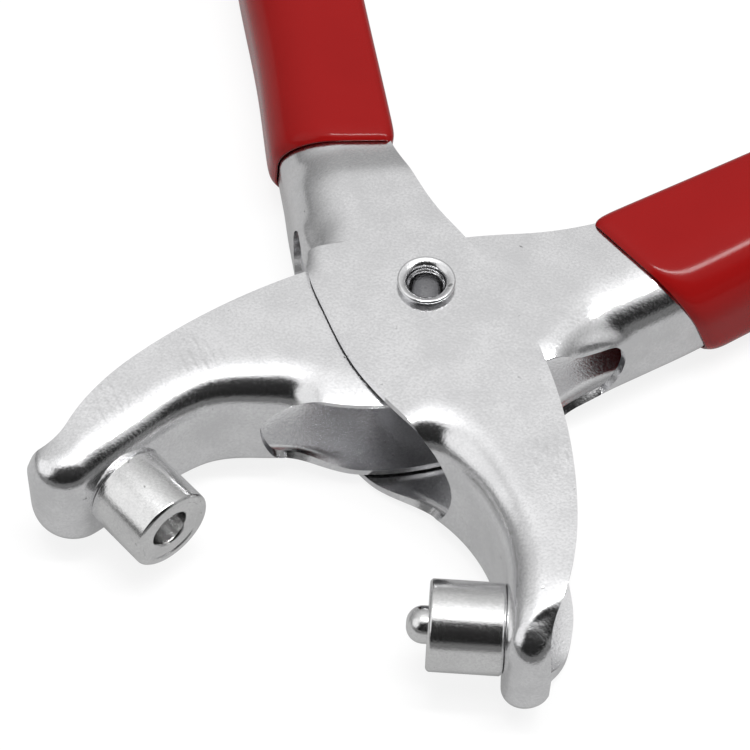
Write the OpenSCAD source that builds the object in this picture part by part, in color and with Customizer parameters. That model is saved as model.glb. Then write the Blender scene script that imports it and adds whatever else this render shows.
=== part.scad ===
// Eyelet pliers: two pressed steel channels that cross at a tubular rivet.
// The outer lever straddles the inner one. Each jaw carries a turned die, a setter with
// a domed pin on one side and a drilled anvil on the other, and each handle a plastic grip.
// Millimetres. Z is the pivot axis, Y runs from the jaws to the handles, and the pliers stand open.

/* [Pivot] */
// Radius of the tubular rivet
rivet_r = 2.9; // [2.5:0.1:3.1]
// Radius of the hole through the rivet
rivet_hole_r = 1.9; // [1.4:0.1:2.1]
// Radius of the rivet's rolled lip
lip_r = 3.45; // [3.3:0.05:4]
// Height of the rolled lip above the cheek
lip_h = 1; // [0.7:0.1:1.4]
// Flare at each mouth of the rivet's hole
lip_flare = 0.4; // [0.2:0.1:0.6]
// Outer radius of the spacer sleeve round the rivet
sleeve_r = 4; // [3.7:0.1:4.3]
// Radial clearance of what turns on the rivet
run_clear = 0.05; // [0.02:0.01:0.1]
// Clearance between cheeks that slide on each other
side_clear = 0.1; // [0.05:0.05:0.3]
// Angle through which the jaws shut
open_angle = 44.3; // [40:0.1:46]

/* [Sheet] */
// Thickness of the steel sheet
sheet = 1.2; // [1:0.1:1.4]
// Outside width of the inner lever's channel
channel_w = 15; // [13:0.5:17]
// Outside radius of the bend between cheek and web
bend_r = 2.6; // [2:0.1:2.8]

/* [Handles] */
// Angle between each handle and the centre line of the shut pliers
handle_angle = 13; // [11:0.5:15]
// Distance from the pivot line to a handle's web
handle_offset = 14.3; // [13.5:0.1:15]
// Depth of a handle's channel
handle_depth = 12.7; // [11.5:0.1:13.5]
// Straight length of a handle, from the pivot
handle_straight = 50; // [40:1:60]
// Length of the curved end of a handle
handle_curved = 54; // [40:1:70]
// Radius of the curved end, along the web
handle_bow_r = 170; // [140:5:240]
// Where the outer lever starts to step in towards its grip, from the pivot
joggle_at = 14; // [13:0.5:16]
// Length of that step
joggle_len = 4.5; // [3:0.5:6]
// Radius of the neck between a handle's free edge and the cheek
neck_r = 40; // [30:1:50]

/* [Cheeks] */
// Where the round belly of the cheek leaves the straight web, from the pivot
belly_at = 7.4; // [6:0.2:8]
// Radius of the belly
belly_r = 42; // [40:1:46]
// Shoulder where the neck meets the back of the jaw, across
shoulder_x = 2.2; // [1:0.2:3]
// Shoulder where the neck meets the back of the jaw, along
shoulder_y = 9.6; // [8:0.2:11]
// Where the slot in a handle's web ends, from the pivot
slot_at = 15; // [13.5:0.5:17]
// The same on the inner lever
inner_slot_at = 18.4; // [17:0.1:20]
// Angle of the part bend that is left along the inner lever's slot
slot_lip = 20; // [10:5:30]
// Radius of that part bend
lip_bend = 8; // [6:0.5:10]
// How far the round end of the outer lever's slot is held back from its jaw
slot_back = 4; // [2:0.5:5]

/* [Jaws] */
// Radius of the web from the belly to the die's seat
jaw_r = 20; // [18:0.5:22]
// Distance from the pivot to where the back of a jaw is furthest out
back_y = 31.5; // [29:0.5:34]
// Distance of the outer lever's jaw back from the centre line
outer_back = 18; // [17:0.2:19]
// Distance of the inner lever's jaw back from the centre line
inner_back = 15; // [14:0.2:16]
// Radius of a jaw's back towards its tip
back_end_r = 30.7; // [28:0.5:34]
// Distance from the dies' axis to the outer lever's tip
outer_tip_past = 7.5; // [6:0.2:9]
// Distance from the dies' axis to the inner lever's tip
inner_tip_past = 9.5; // [8:0.2:10.4]
// Radius of a jaw's round tip
tip_r = 3.3; // [3:0.1:3.6]
// Angle through which the web wraps round the tip
tip_wrap = 125; // [115:5:140]

/* [Dies] */
// Distance from the pivot to the dies' axis
die_reach = 40; // [39:0.1:42]
// Distance of the plane where the dies meet from the pivot
die_meet = 2.3; // [0:0.1:3.5]
// Radius of a die
die_r = 5.1; // [4.6:0.1:5.4]
// Length of the setter die
setter_len = 8.4; // [7:0.1:9]
// Length of the anvil die
anvil_len = 8.2; // [7.4:0.1:9]
// Gap between the dies' faces when shut
shut_gap = 0.4; // [0.2:0.1:0.8]
// Chamfer on a die's edges
die_edge = 0.35; // [0.2:0.05:0.6]
// Radius of the pin in the setter die
pin_r = 2.1; // [1.8:0.1:2.2]
// Height of the pin above the setter die's face
pin_h = 2.4; // [2:0.1:3]
// Depth of the pin in the setter die
pin_seat = 4; // [3:0.5:5]
// Radius of the hole in the anvil die
anvil_hole_r = 2.35; // [2.3:0.05:2.6]
// Depth of the hole in the anvil die
anvil_hole_depth = 5.5; // [4:0.5:6.5]
// Chamfer at the mouth of that hole
hole_edge = 0.4; // [0.3:0.1:0.9]
// Depth of the dish in the anvil's face
dish_depth = 0.25; // [0.1:0.05:0.4]
// Width of the flat rim round the dish
dish_rim = 0.9; // [0.6:0.1:1.3]
// Radius of a die's riveted shank
shank_r = 1.9; // [1.6:0.1:2.1]
// Radius of the shank's upset head
shank_head_r = 2.7; // [2.4:0.1:2.9]
// Height of the shank's upset head
shank_head_h = 0.9; // [0.6:0.1:1.2]
// Clearance round a pressed or riveted piece
press_clear = 0.02; // [0.01:0.01:0.05]

/* [Grips] */
// Where a grip starts, from the pivot
grip_at = 25; // [23:0.5:28]
// Wall of a grip
grip_wall = 1.2; // [1:0.05:1.5]
// Clearance between a grip and its handle
grip_fit = 0.1; // [0.05:0.01:0.2]
// Radius of a grip's corners
grip_round = 3.4; // [2.8:0.1:4]
// Height of the bead round a grip's mouth
bead_h = 0.35; // [0.2:0.05:0.5]
// Length of that bead
bead_len = 1.6; // [1.2:0.1:2.4]

/* [Spring] */
// Radius of the spring's wire
wire_r = 0.55; // [0.4:0.05:0.6]
// Clearance between the coil and the sleeve
coil_clear = 0.5; // [0.45:0.05:0.7]
// Full turns in the coil, besides the part turn between the legs
coil_turns = 3; // [2:1:3]
// Rise of the coil in one turn
coil_pitch = 1.75; // [1.7:0.05:1.9]
// Distance from the pivot to the end of a spring's leg
leg_reach = 32; // [28:1:38]
// Gap between a leg and the web that it presses on
leg_gap = 0.1; // [0.05:0.05:0.3]

/* [Hidden] */
$fn = 96;
steel = [0.78, 0.78, 0.79];
dark_steel = [0.62, 0.62, 0.63];
spring_steel = [0.5, 0.5, 0.52];
red_pvc = [0.62, 0.1, 0.1];

// Each lever is drawn shut, on the right of the centre line, and then turned open.
outer_w = channel_w + 2 * (side_clear + sheet);
outer_tip = die_reach + outer_tip_past;
inner_tip = die_reach + inner_tip_past;
outer_land = die_meet + setter_len + shut_gap / 2;
inner_land = anvil_len + shut_gap / 2 - die_meet;
free_offset = handle_offset - handle_depth;
handle_reach = handle_straight + handle_curved;
lap = 0.5;
far = 60;
web_side = 180 + handle_angle;

// Derived places are kept to whole microns and hundredths of a degree, so that swept stretches meet exactly.
function micron(x) = round(x * 1000) / 1000;
function fine(a) = round(a * 100) / 100;
bow_angle = fine(handle_curved / handle_bow_r * 180 / PI);

// Unit vectors along a handle and from the pivot towards its web
along = [-sin(handle_angle), cos(handle_angle)];
across = [-cos(handle_angle), -sin(handle_angle)];
belly_c = belly_at * along + (handle_offset - belly_r) * across;

// A lever's arcs follow from where its die's seat and its jaw's back lie.
function polar(r, a) = r * [cos(a), sin(a)];
function angle_of(v) = atan2(v.y, v.x);
// Points on an arc, without the first, which the outline already has
function arc(c, r, a0, a1, n) = [for (i = [1 : n]) c + polar(r, a0 + (a1 - a0) * i / n)];
function jaw_c(land) =
    let (dx = belly_c.x - land + jaw_r)
    [micron(land - jaw_r), micron(belly_c.y - sqrt(pow(belly_r + jaw_r, 2) - dx * dx))];
function join_a(land) = angle_of(belly_c - jaw_c(land));
function tip_c(land, tip) = [land + tip_r, tip_r - tip];
function back_r(back) =
    let (dx = back - shoulder_x, dy = shoulder_y + back_y)
    (dx * dx + dy * dy) / (2 * dx);
function back_c(back) = [back - back_r(back), -back_y];
function end_c(back) = [back - back_end_r, -back_y];
function neck_c(back) =
    let (c = back_c(back), off = free_offset - neck_r, gap = c * across - off)
    (c * along + sqrt(pow(back_r(back) + neck_r, 2) - gap * gap)) * along + off * across;
function neck_a(back) = angle_of(neck_c(back) - back_c(back));
function end_a(land, back, tip) =
    let (v = tip_c(land, tip) - end_c(back), d = norm(v))
    angle_of(v) + acos((back_end_r * back_end_r + d * d - tip_r * tip_r) / (2 * back_end_r * d));

// Outline of a cheek, drawn in from the web by inset. A plain belly reaches out to the web's own line.
function cheek(land, back, tip, inset, plain_belly) =
    let (c = tip_c(land, tip), neck = neck_c(back), top = neck * along, join = join_a(land),
         past = lap / belly_r * 180 / PI)
    concat(
        [top * along + (free_offset + lap) * across],
        arc(neck, neck_r, web_side, neck_a(back) + 180, 10),
        arc(back_c(back), back_r(back), neck_a(back), 0, 20),
        arc(end_c(back), back_end_r, 0, end_a(land, back, tip), 10),
        [for (p = [[tip_r, tip_wrap - 180], [2 * lap, 300], [2 * lap, 240]]) c + polar(p[0], p[1])],
        [[land + inset, c.y]],
        [jaw_c(land) + [jaw_r + inset, 0]],
        arc(jaw_c(land), jaw_r + inset, 0, join - (plain_belly ? past : 0), 12),
        plain_belly ? [belly_c + polar(belly_r, join + 180 + past)] : [],
        plain_belly
            ? arc(belly_c, belly_r, join + 180 + past, web_side, 20)
            : arc(belly_c, belly_r - inset, join + 180, web_side, 20),
        plain_belly ? [for (d = [0, inset]) (belly_at + lap) * along + (handle_offset - d) * across] : [],
        [top * along + (handle_offset - inset) * across]);

// Closed outline of a channel w wide, with its web at x = 0 and its bends on that side
module envelope(w, depth, r) {
    translate([r, -w / 2]) square([depth - r, w]);
    translate([0, r - w / 2]) square([depth, w - 2 * r]);
    intersection() {
        for (s = [-1, 1]) translate([r, s * (w / 2 - r)]) circle(r);
        translate([0, -w / 2]) square([depth, w]);
    }
}

module channel(w, depth) {
    difference() {
        envelope(w, depth, bend_r);
        translate([sheet, 0]) envelope(w - 2 * sheet, depth + lap, bend_r - sheet);
    }
}

// Two strips of cheek that turn down by slot_lip at their edge
module lip_strips(w) {
    for (s = [0, 1]) mirror([0, s]) translate([bend_r, w / 2 - lip_bend]) {
        translate([0, lip_bend - sheet]) square([2 * lap, sheet]);
        intersection() {
            difference() {
                circle(lip_bend);
                circle(lip_bend - sheet);
            }
            polygon([[0, 0], [0, 2 * lip_bend], polar(3 * lip_bend, 90 + slot_lip)]);
        }
    }
}

// Turns the plan so that x is square to a handle and y runs along it
module on_handle() {
    rotate([0, 0, handle_angle]) children();
}

// Sweeps a section along the straight of a handle, and round its bow
module straight(from, to) {
    translate([-handle_offset, from, 0]) rotate([-90, 0, 0]) linear_extrude(to - from) children();
}

module bow(from, to) {
    translate([handle_bow_r - handle_offset, handle_straight, 0])
        rotate_extrude(start = 180 - from, angle = from - to)
            translate([handle_bow_r, 0]) mirror([1, 0]) children();
}

module both_cheeks(w) {
    for (s = [0, 1]) mirror([0, 0, s]) translate([0, 0, w / 2 - sheet])
        linear_extrude(sheet) children();
}

// Half the width of the slot through a web
function slot_half(w) = w / 2 - bend_r * 0.7;

// Slot through a handle's web, with a round end
module slot_cut(w, at) {
    half = slot_half(w);
    on_handle() translate([-handle_offset - lap, at - half, 0]) rotate([90, 0, 90])
        linear_extrude(2 * bend_r) {
            translate([belly_at - at - lap, -half]) square([at - belly_at + lap, 2 * half]);
            circle(half);
        }
}

// Web and bends of the jaw, from the slot's other round end to the tip
module jaw_web(w, land, tip, held_back) {
    c = tip_c(land, tip);
    slot_a = fine(join_a(land) + held_back / jaw_r * 180 / PI);
    translate(jaw_c(land)) difference() {
        rotate_extrude(start = 0, angle = join_a(land))
            translate([jaw_r, 0]) channel(w, bend_r + 2 * lap);
        rotate([0, 0, slot_a]) translate([jaw_r - lap, 0, 0]) rotate([0, 90, 0]) rotate([0, 0, 60])
            cylinder(r = slot_half(w), h = 2 * bend_r);
    }
    translate([land, c.y, 0]) rotate([-90, 0, 0]) linear_extrude(jaw_c(land).y - c.y)
        channel(w, bend_r + 2 * lap);
    translate(c) rotate_extrude(start = 180, angle = tip_wrap)
        translate([tip_r, 0]) mirror([1, 0]) channel(w, tip_r - lap);
}

module flat_cheeks(w, land, back, tip, plain_belly) {
    both_cheeks(w) polygon(cheek(land, back, tip, bend_r + lap, plain_belly));
}

// Whatever of its children lies from one place along the handle to another
module stretch(from, to) {
    intersection() {
        children();
        on_handle() translate([-far, from, -far]) cube([2 * far, to - from, 2 * far]);
    }
}

// Step from the wide channel to the narrow one: the channel's two halves slope towards each other
module joggle(land, back, tip) {
    drop = (outer_w - channel_w) / 2;
    slope = atan2(drop, joggle_len);
    intersection() {
        stretch(joggle_at, joggle_at + joggle_len) on_handle()
            for (s = [0, 1]) mirror([0, 0, s])
                translate([0, joggle_at, outer_w / 2]) rotate([-slope, 0, 0])
                    translate([0, -joggle_len, -outer_w / 2]) straight(0, 3 * joggle_len)
                        intersection() {
                            channel(outer_w, handle_depth + far / 4);
                            translate([-far, -far]) square([2 * far, far + bend_r]);
                        }
        linear_extrude(far, center = true) polygon(cheek(land, back, tip, -lap, false));
    }
}

module pivot_hole(r) {
    cylinder(r = r, h = far, center = true);
}

module shank_hole(land) {
    translate([land, -die_reach, 0]) rotate([0, 90, 0])
        cylinder(r = shank_r + press_clear, h = 4 * sheet, center = true);
}

// Flat seat under a die, faced into the jaw's curve
module seat_face(land) {
    translate([land, -die_reach, 0]) rotate([0, -90, 0]) rotate([0, 0, 60])
        cylinder(r = die_r + press_clear, h = 2 * bend_r);
}

module open_outer() {
    rotate([0, 0, open_angle / 2]) children();
}

module open_inner() {
    rotate([0, 0, -open_angle / 2]) mirror([1, 0, 0]) children();
}

module outer_lever() {
    step_end = joggle_at + joggle_len;
    color(steel) open_outer() difference() {
        union() {
            stretch(-far, joggle_at + lap) flat_cheeks(outer_w, outer_land, outer_back, outer_tip, true);
            stretch(step_end - lap, far) flat_cheeks(channel_w, outer_land, outer_back, outer_tip, true);
            joggle(outer_land, outer_back, outer_tip);
            on_handle() {
                straight(belly_at, joggle_at + lap) channel(outer_w, bend_r + 2 * lap);
                straight(step_end - lap, handle_straight) channel(channel_w, handle_depth);
                bow(0, bow_angle) channel(channel_w, handle_depth);
            }
            jaw_web(outer_w, outer_land, outer_tip, slot_back);
        }
        slot_cut(outer_w, slot_at);
        pivot_hole(rivet_r + press_clear);
        shank_hole(outer_land);
        seat_face(outer_land);
    }
}

module inner_lever() {
    belly_a = fine(join_a(inner_land) - handle_angle - press_clear / belly_r * 180 / PI);
    color(steel) open_inner() difference() {
        union() {
            flat_cheeks(channel_w, inner_land, inner_back, inner_tip, false);
            on_handle() {
                translate([belly_r - handle_offset, belly_at, 0]) rotate_extrude(start = 180, angle = belly_a)
                    translate([belly_r, 0]) mirror([1, 0]) lip_strips(channel_w);
                straight(belly_at, handle_straight) channel(channel_w, handle_depth);
                bow(0, bow_angle) channel(channel_w, handle_depth);
            }
            jaw_web(channel_w, inner_land, inner_tip, 0);
        }
        slot_cut(channel_w, inner_slot_at);
        pivot_hole(rivet_r + run_clear);
        shank_hole(inner_land);
        seat_face(inner_land);
    }
}

// Tube with a rolled and flared lip at each end
module pivot_rivet() {
    top = outer_w / 2 + lip_h;
    under = outer_w / 2 + press_clear;
    roll = lip_r - rivet_r;
    color(steel) rotate_extrude() for (s = [0, 1]) mirror([0, s]) difference() {
        union() {
            translate([rivet_hole_r, 0]) square([rivet_r - rivet_hole_r, top]);
            intersection() {
                union() {
                    translate([rivet_r - roll, under]) square([2 * roll, top - roll - under]);
                    translate([rivet_r, top - roll]) circle(roll);
                }
                translate([rivet_hole_r, under]) square([lip_r, lip_h]);
            }
        }
        polygon([[rivet_hole_r - lap, top - lip_flare - lap], [rivet_hole_r + lip_flare + lap, top + lap],
                 [rivet_hole_r - lap, top + lap]]);
    }
}

module pivot_sleeve() {
    length = channel_w - 2 * sheet - 2 * side_clear;
    color(dark_steel) difference() {
        cylinder(r = sleeve_r, h = length, center = true);
        cylinder(r = rivet_r + press_clear, h = length + lap, center = true);
    }
}

// Wire path of the return spring: one leg, the coil, the other leg
coil_r = sleeve_r + coil_clear + wire_r;
leg_angle = handle_angle + open_angle / 2;
leg_off = handle_offset - sheet - leg_gap - wire_r;
leg_a = angle_of([leg_reach, leg_off]) + 90 + leg_angle;
leg_far = norm([leg_reach, leg_off]);
touch_a = leg_a + acos(coil_r / leg_far);
coil_a = 2 * (270 - touch_a) + 360 * coil_turns;
coil_rise = coil_pitch * coil_a / 360;
coil_steps = round(8 * coil_a / 360);
coil_path = [for (i = [0 : coil_steps])
    concat(polar(coil_r, touch_a + coil_a * i / coil_steps), coil_rise * (i / coil_steps - 0.5))];
leg_end = concat(polar(leg_far, leg_a), -coil_rise / 2);
leg_dir = (leg_end - coil_path[0]) / norm(leg_end - coil_path[0]);
leg_half = [leg_end, leg_end - 2 * wire_r * leg_dir];
wire_path = concat(leg_half, coil_path, [for (p = [leg_half[1], leg_half[0]]) [-p.x, p.y, -p.z]]);

// Least gap between turns, measured between path points half a turn or more apart
coil_gap = min([for (i = [0 : coil_steps], j = [0 : coil_steps])
    if (j > i + 4) norm(coil_path[i] - coil_path[j]) - 2 * wire_r]);
echo(least_gap_in_spring = coil_gap);

module tube(path, r, sides) {
    last = len(path) - 1;
    points = [for (i = [0 : last])
        let (d = path[min(i + 1, last)] - path[max(i - 1, 0)], t = d / norm(d),
             side = cross(t, [0, 0, 1]), b = side / norm(side), up = cross(b, t))
        for (k = [0 : sides - 1]) path[i] + r * (cos(360 * k / sides) * b + sin(360 * k / sides) * up)];
    walls = [for (i = [0 : last - 1], k = [0 : sides - 1])
        let (a = i * sides + k, b = i * sides + (k + 1) % sides)
        for (f = [[a, b, b + sides], [a, b + sides, a + sides]]) f];
    caps = [for (k = [1 : sides - 2], e = [0, 1])
        e == 0 ? [0, k + 1, k] : [last * sides, last * sides + k, last * sides + k + 1]];
    polyhedron(points, [for (f = concat(walls, caps)) [f[2], f[1], f[0]]]);
}

module return_spring() {
    color(spring_steel) tube(wire_path, wire_r, 6);
}

// Stands a turned profile on the seat of a die, with its length towards the other die
module on_seat(land) {
    translate([land, -die_reach, 0]) rotate([0, -90, 0]) rotate_extrude() children();
}

// Profile of a die with its shank, from its seat at y = 0
module die_profile(length) {
    polygon([[0, -sheet - shank_head_h], [shank_head_r - shank_head_h / 2, -sheet - shank_head_h],
             [shank_head_r, -sheet - shank_head_h / 2], [shank_head_r, -sheet], [shank_r, -sheet],
             [shank_r, 0], [die_r - die_edge, 0], [die_r, die_edge], [die_r, length - die_edge],
             [die_r - die_edge, length], [0, length]]);
}

module setter_die() {
    color(dark_steel) open_outer() on_seat(outer_land) difference() {
        die_profile(setter_len);
        translate([0, setter_len - pin_seat]) square([pin_r + press_clear, pin_seat + lap]);
    }
}

// Plain shank with a round nose
module setter_pin() {
    nose = pin_h - pin_r * 0.85;
    color(steel) open_outer() on_seat(outer_land) translate([0, setter_len - pin_seat]) {
        square([pin_r, pin_seat + nose]);
        translate([0, pin_seat + nose]) intersection() {
            translate([-pin_r * 0.15, 0]) circle(pin_r * 1.15);
            square([pin_r, pin_h - nose]);
        }
    }
}

module anvil_die() {
    floor_y = anvil_len - anvil_hole_depth;
    face_r = die_r - dish_rim;
    mouth_y = anvil_len - dish_depth - hole_edge;
    color(dark_steel) open_inner() on_seat(inner_land) difference() {
        die_profile(anvil_len);
        translate([0, floor_y]) square([anvil_hole_r, anvil_hole_depth + lap]);
        polygon([[0, anvil_len - dish_depth], [face_r - dish_depth, anvil_len - dish_depth],
                 [face_r, anvil_len], [face_r, anvil_len + lap], [0, anvil_len + lap]]);
        polygon([[0, anvil_len], [anvil_hole_r + hole_edge, anvil_len - dish_depth],
                 [anvil_hole_r, mouth_y], [0, mouth_y]]);
    }
}

// Rounded section of a grip, with its web side at x = 0
module grip_outside(wall) {
    x0 = -wall;
    x1 = handle_depth + wall;
    h = channel_w / 2 + wall;
    translate([x0 + grip_round, -h]) square([x1 - x0 - 2 * grip_round, 2 * h]);
    translate([x0, grip_round - h]) square([x1 - x0, 2 * (h - grip_round)]);
    for (x = [x0 + grip_round, x1 - grip_round], y = [grip_round - h, h - grip_round])
        translate([x, y]) circle(grip_round);
}

module grip_inside() {
    translate([-grip_fit, 0])
        envelope(channel_w + 2 * grip_fit, handle_depth + 2 * grip_fit, bend_r + grip_fit);
}

// Round end of a grip: a disc with soft edges, a little wider than the sleeve
module grip_end(half, h) {
    translate([handle_bow_r - handle_offset, handle_straight, 0]) rotate([0, 0, -bow_angle])
        translate([handle_depth / 2 - handle_bow_r, 0, 0]) rotate_extrude() {
            translate([0, -h]) square([half - grip_round, 2 * h]);
            translate([0, grip_round - h]) square([half, 2 * (h - grip_round)]);
            intersection() {
                for (s = [-1, 1]) translate([half - grip_round, s * (h - grip_round)]) circle(grip_round);
                translate([0, -h]) square([half, 2 * h]);
            }
        }
}

// Sleeve over a handle, with a bead at its mouth and a solid round end
module grip() {
    wall = grip_wall + grip_fit;
    half = handle_depth / 2 + wall;
    h = channel_w / 2 + wall;
    cap_at = bow_angle + max(0.01, fine(grip_fit / handle_bow_r * 180 / PI));
    cap_end = cap_at + fine(2 * half / handle_bow_r * 180 / PI);
    on_handle() difference() {
        union() {
            straight(grip_at, handle_straight) grip_outside(wall);
            straight(grip_at, grip_at + bead_len) grip_outside(wall + bead_h);
            bow(0, cap_at) grip_outside(wall);
            intersection() {
                bow(cap_at, cap_end) grip_outside(wall);
                grip_end(half + lap, h + lap / 2);
            }
        }
        straight(grip_at - lap, handle_straight) grip_inside();
        bow(0, cap_at) grip_inside();
    }
}

module outer_grip() {
    color(red_pvc) open_outer() grip();
}

module inner_grip() {
    color(red_pvc) open_inner() grip();
}

outer_lever();
inner_lever();
pivot_rivet();
pivot_sleeve();
return_spring();
setter_die();
setter_pin();
anvil_die();
outer_grip();
inner_grip();
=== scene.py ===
# %% [markdown]
# Eyelet pliers, drawn over their own construction
# Two pressed steel levers cross at a tubular rivet, and each carries a turned die on its jaw and a red
# plastic grip on its handle. They could be drawn freely by eye, but then nothing would fit or move. So the
# construction gives the places, the sizes and the moving bodies, and this lesson draws the same pieces over
# it with smoother surfaces and real finishes.

# %% Load the construction
import math
from types import SimpleNamespace
import bmesh
import bpy
from mathutils import Matrix, Vector


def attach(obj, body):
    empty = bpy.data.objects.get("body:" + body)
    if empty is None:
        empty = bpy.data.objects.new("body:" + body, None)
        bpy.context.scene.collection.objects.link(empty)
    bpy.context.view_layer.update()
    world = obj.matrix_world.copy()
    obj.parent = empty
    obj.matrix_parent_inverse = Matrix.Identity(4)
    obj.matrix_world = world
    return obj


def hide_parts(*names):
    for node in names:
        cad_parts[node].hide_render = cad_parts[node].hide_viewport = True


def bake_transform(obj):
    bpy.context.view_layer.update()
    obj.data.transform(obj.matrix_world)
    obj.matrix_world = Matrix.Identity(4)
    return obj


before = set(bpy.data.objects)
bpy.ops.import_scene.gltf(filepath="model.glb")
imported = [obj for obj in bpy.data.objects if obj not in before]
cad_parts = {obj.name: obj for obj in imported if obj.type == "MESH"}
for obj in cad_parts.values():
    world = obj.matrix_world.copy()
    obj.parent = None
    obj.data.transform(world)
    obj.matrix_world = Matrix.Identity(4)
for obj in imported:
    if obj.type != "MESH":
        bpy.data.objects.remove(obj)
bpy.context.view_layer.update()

MM = 0.001

# %% [markdown]
# Camera
# The photo looks down on the pliers at about 54 degrees with a long lens. A camera can be dragged into place
# until it looks right, but numbers are easier to mend. Here it is placed from the one point that shows
# clearest, the pivot on the front face, so that scale, turn and roll are one value each.

# %% Place the camera
PICTURE = 750
FOCAL = 2784
PIVOT_AT = (426.2, 284.0)
DISTANCE = 320 * MM
FRONT_Z = 8.8 * MM
TURNED, DOWN, ROLL = 23.85, 54.4, 2.2
SENSOR = 36
turn = Matrix.Rotation(math.radians(TURNED), 3, "Z")
down, roll = math.radians(DOWN), math.radians(ROLL)
level = Vector((1, 0, 0))
above = Vector((0, math.sin(down), math.cos(down)))
ahead = Vector((0, math.cos(down), -math.sin(down)))
right = math.cos(roll) * level + math.sin(roll) * above
up = math.cos(roll) * above - math.sin(roll) * level
aside = (PIVOT_AT[0] - PICTURE / 2) / FOCAL * right - (PIVOT_AT[1] - PICTURE / 2) / FOCAL * up
eye = Vector((0, 0, FRONT_Z)) - turn @ (DISTANCE * (aside + ahead))
camera = bpy.data.objects.new("camera", bpy.data.cameras.new("camera"))
bpy.context.scene.collection.objects.link(camera)
camera.data.sensor_width = SENSOR
camera.data.lens = SENSOR * FOCAL / PICTURE
camera.data.clip_start, camera.data.clip_end = 0.01, 20
axes = Matrix((turn @ right, turn @ up, -(turn @ ahead))).transposed()
camera.matrix_world = Matrix.Translation(eye) @ axes.to_4x4()
bpy.context.scene.camera = camera
print("camera at", [round(v / MM) for v in eye])

# %% [markdown]
# Shader nodes by name
# Every finish below is a small tree of shader nodes. They could be made one call at a time, which is long
# and hard to read. So four helpers make a node, a sum, a blend of two colours or an empty material.

# %% Make the node helpers
def add(tree, kind, inputs=None, **settings):
    """Adds a shader node, with numbers set on its inputs and sockets linked to them."""
    made = tree.nodes.new("ShaderNode" + kind)
    for name, value in settings.items():
        setattr(made, name, value)
    for name, value in (inputs or {}).items():
        if isinstance(value, bpy.types.NodeSocket):
            tree.links.new(value, made.inputs[name])
        else:
            made.inputs[name].default_value = value
    return made


def reckon(tree, operation, *values):
    """The result of a Math node."""
    return add(tree, "Math", dict(enumerate(values)), operation=operation).outputs[0]


def blend_colours(tree, share, first, second):
    """A colour between two. On a Mix node the colours are inputs 6 and 7, and the result is output 2."""
    return add(tree, "Mix", {"Factor": share, 6: first, 7: second}, data_type="RGBA").outputs[2]


def new_material(name):
    """A material with an empty tree and an output node."""
    material = bpy.data.materials.new(name)
    material.use_nodes = True
    material.node_tree.nodes.clear()
    return material, material.node_tree, add(material.node_tree, "OutputMaterial")


print("node helpers ready")

# %% [markdown]
# Floor
# The pliers lie flat on a white sheet. A strongly lit floor would be white too, but the light would bleach
# the metal. So the floor's own material answers the camera with plain white and mirrors with a grey, and
# keeps a share of matte paper, which holds the soft shadow.

# %% Lay the floor
FLOOR_Z, FLOOR_HALF = -9.8 * MM, 3
IN_MIRRORS, PLAIN_SHARE, PAPER = 0.34, 0.85, 0.86
bm = bmesh.new()
bmesh.ops.create_grid(bm, x_segments=1, y_segments=1, size=FLOOR_HALF)
bmesh.ops.translate(bm, vec=(0, 0, FLOOR_Z), verts=bm.verts)
floor_mesh = bpy.data.meshes.new("floor")
bm.to_mesh(floor_mesh)
bm.free()
floor = bpy.data.objects.new("floor", floor_mesh)
bpy.context.scene.collection.objects.link(floor)
paper, tree, out = new_material("white_sheet")
seen = add(tree, "LightPath").outputs
strength = reckon(tree, "MULTIPLY_ADD", seen["Is Glossy Ray"], IN_MIRRORS, seen["Is Camera Ray"])
either = reckon(tree, "MAXIMUM", seen["Is Camera Ray"], seen["Is Glossy Ray"])
share = reckon(tree, "MULTIPLY", either, PLAIN_SHARE)
matte = add(tree, "BsdfDiffuse", {"Color": (PAPER, PAPER, PAPER, 1)})
plain = add(tree, "Emission", {"Color": (1, 1, 1, 1), "Strength": strength})
both = add(tree, "MixShader", {0: share, 1: matte.outputs[0], 2: plain.outputs[0]})
tree.links.new(both.outputs[0], out.inputs[0])
floor_mesh.materials.append(paper)
print("floor at", FLOOR_Z)

# %% [markdown]
# Room
# Bright metal shows its surroundings more than itself. The photo's levers have white and black bands along
# their bends, so the room is bright overhead, greyer to the sides and dark on the camera's side, with a
# window at the left and a paler foot to its walls. An image of a studio could do this, but a few ramps in
# the world need no file and are easy to tune.

# %% Light the room
ROOM = ((0.0, 0.22), (0.37, 0.40), (0.66, 0.60), (0.80, 0.69), (0.93, 1.0), (1.0, 1.08))
WINDOW_WAY, WINDOW = (-0.79, -0.20, 0.58), 0.9
toward = turn @ Vector((0, -1, 0))
world = bpy.data.worlds.new("room")
bpy.context.scene.world = world
world.use_nodes = True
tree = world.node_tree
tree.nodes.clear()
way = add(tree, "TexCoord").outputs["Generated"]
lift = add(tree, "SeparateXYZ", {0: way}).outputs["Z"]
room = add(tree, "ValToRGB", {"Fac": lift})
while len(room.color_ramp.elements) < len(ROOM):
    room.color_ramp.elements.new(0.5)
for stop, (at, light) in zip(room.color_ramp.elements, ROOM):
    stop.position, stop.color = at, (light, light, light, 1)


def step_of(value, start, end, low=0.0, high=1.0):
    """A soft step in the world: low up to start, high from end on."""
    limits = {"Value": value, "From Min": start, "From Max": end, "To Min": low, "To Max": high}
    return add(tree, "MapRange", limits, interpolation_type="SMOOTHSTEP").outputs[0]


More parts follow.
